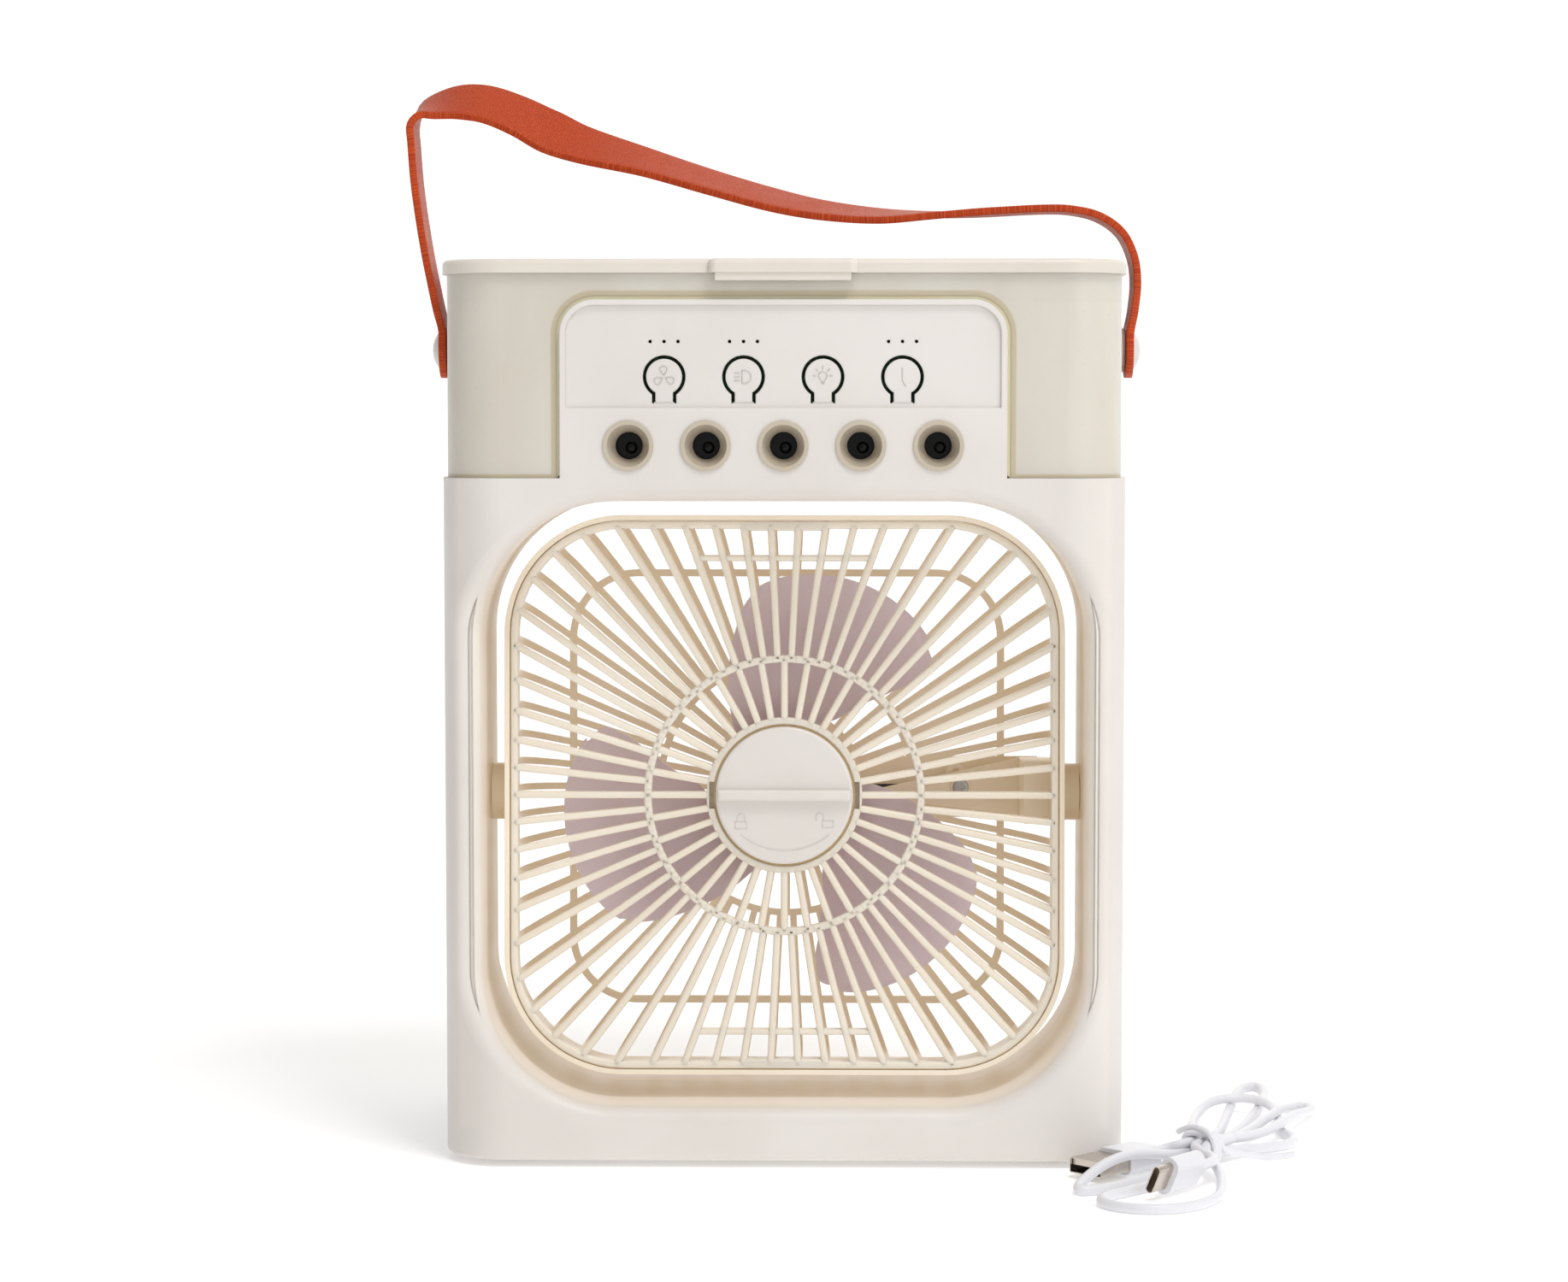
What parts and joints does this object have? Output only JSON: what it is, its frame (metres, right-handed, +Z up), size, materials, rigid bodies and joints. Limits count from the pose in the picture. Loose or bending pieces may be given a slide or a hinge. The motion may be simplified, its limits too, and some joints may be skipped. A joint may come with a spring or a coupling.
{
  "type": "desktop misting fan",
  "caption": "Desktop misting fan: square fan cage tilting in a through tunnel, water tank with lid round a button panel, mist nozzles, leather carry strap and a loose USB lead.",
  "frame": {"origin": "on the surface that the fan stands on, in the middle of its four feet", "axes": "+Z up, front towards -Y, +X to the right seen from the front"},
  "size_m": [0.2796, 0.178, 0.3185],
  "materials": {
    "cage_abs": "cream ABS, semi-gloss",
    "circuit_board": "green solder mask",
    "cotton": "compressed cotton",
    "dark_plastic": "black engineering plastic",
    "disc_metal": "piezo disc, nickel face",
    "housing_abs": "ivory ABS, fine satin moulding texture",
    "impeller_abs": "lavender grey ABS",
    "lead_dark": "black lead jacket",
    "lead_white": "soft white cable jacket",
    "led_lens": "clear epoxy lens",
    "lid_abs": "ivory ABS, satin",
    "motor_steel": "drawn steel can",
    "nozzle_abs": "beige ABS",
    "plug_shell": "nickel plated steel",
    "seal_rubber": "soft grey-white rubber",
    "steel_fasteners": "zinc plated steel",
    "strap_leather": "orange tan leather, grained outside, suede inside",
    "stud_plastic": "domed plastic cap",
    "tank_pp": "milky translucent plastic, satin"
  },
  "bodies": {
    "housing": {"cable_tie": "lead_white", "control_board": "circuit_board", "disc_seals": "seal_rubber", "front_housing": "housing_abs", "housing_lead": "lead_dark", "housing_screws": "steel_fasteners", "indicator_leds": "led_lens", "lid_hinge_pins": "steel_fasteners", "mist_discs": "disc_metal", "nozzle_cap_1": "nozzle_abs", "nozzle_cap_2": "nozzle_abs", "nozzle_cap_3": "nozzle_abs", "nozzle_cap_4": "nozzle_abs", "nozzle_cap_5": "nozzle_abs", "panel_back": "housing_abs", "pivot_bush_left": "dark_plastic", "pivot_bush_right": "dark_plastic", "rear_housing": "housing_abs", "rubber_feet": "seal_rubber", "strap_stud_left": "stud_plastic", "strap_stud_right": "stud_plastic", "switch_bodies": "dark_plastic", "tank_light": "circuit_board", "usb_a_overmould": "lead_white", "usb_a_shell": "plug_shell", "usb_board": "circuit_board", "usb_c_overmould": "lead_white", "usb_c_shell": "plug_shell", "usb_cable": "lead_white", "usb_socket": "plug_shell", "water_tank": "tank_pp", "wick_seals": "seal_rubber", "wicks": "cotton"},
    "lid": {"tank_lid": "lid_abs", "lid_seal": "seal_rubber"},
    "strap": {"carry_strap": "strap_leather"},
    "cage": {"front_grille": "cage_abs", "rear_grille": "cage_abs", "lead_cover": "cage_abs", "lead_cover_screw": "steel_fasteners", "motor_can": "motor_steel", "motor_end_cap": "motor_steel", "motor_bearings": "steel_fasteners", "motor_stator": "motor_steel", "motor_screws": "steel_fasteners", "trunnion_left": "cage_abs", "trunnion_right": "cage_abs", "motor_lead": "lead_dark"},
    "fan": {"impeller": "impeller_abs", "motor_shaft": "steel_fasteners", "rotor": "motor_steel"},
    "cap": {"lock_cap": "cage_abs"},
    "key_fan": {"button_fan": "housing_abs", "switch_stem_fan": "dark_plastic"},
    "key_mist": {"button_mist": "housing_abs", "switch_stem_mist": "dark_plastic"},
    "key_light": {"button_light": "housing_abs", "switch_stem_light": "dark_plastic"},
    "key_timer": {"button_timer": "housing_abs", "switch_stem_timer": "dark_plastic"}
  },
  "joints": [
    {"name": "lid_hinge", "type": "hinge", "parent": "housing", "child": "lid", "pos_m": [0, 0.0596, 0.259], "axis": [-1, 0, 0], "range_deg": [0, 100], "deforming": ["carry_strap"]},
    {"name": "strap_swing", "type": "hinge", "parent": "housing", "child": "strap", "pos_m": [0, 0, 0.238], "axis": [1, 0, 0], "range_deg": [-35, 35]},
    {"name": "cage_tilt", "type": "hinge", "parent": "housing", "child": "cage", "pos_m": [0, -0.013, 0.1054], "axis": [1, 0, 0], "range_deg": [-42, 48]},
    {"name": "fan_spin", "type": "hinge", "parent": "cage", "child": "fan", "pos_m": [0, -0.013, 0.1054], "axis": [0, -0.9986, 0.0523], "continuous": true},
    {"name": "cap_turn", "type": "hinge", "parent": "cage", "child": "cap", "pos_m": [0, -0.013, 0.1054], "axis": [0, -0.9986, 0.0523], "range_deg": [0, 45]},
    {"name": "press_fan", "type": "hinge", "parent": "housing", "child": "key_fan", "pos_m": [-0.0342, -0.0564, 0.222], "axis": [-1, 0, 0], "range_deg": [0, 2.8], "stiffness_Nm_per_rad": 0.05},
    {"name": "press_mist", "type": "hinge", "parent": "housing", "child": "key_mist", "pos_m": [-0.0114, -0.0564, 0.222], "axis": [-1, 0, 0], "range_deg": [0, 2.8], "stiffness_Nm_per_rad": 0.05},
    {"name": "press_light", "type": "hinge", "parent": "housing", "child": "key_light", "pos_m": [0.0114, -0.0564, 0.222], "axis": [-1, 0, 0], "range_deg": [0, 2.8], "stiffness_Nm_per_rad": 0.05},
    {"name": "press_timer", "type": "hinge", "parent": "housing", "child": "key_timer", "pos_m": [0.0342, -0.0564, 0.222], "axis": [-1, 0, 0], "range_deg": [0, 2.8], "stiffness_Nm_per_rad": 0.05}
  ]
}
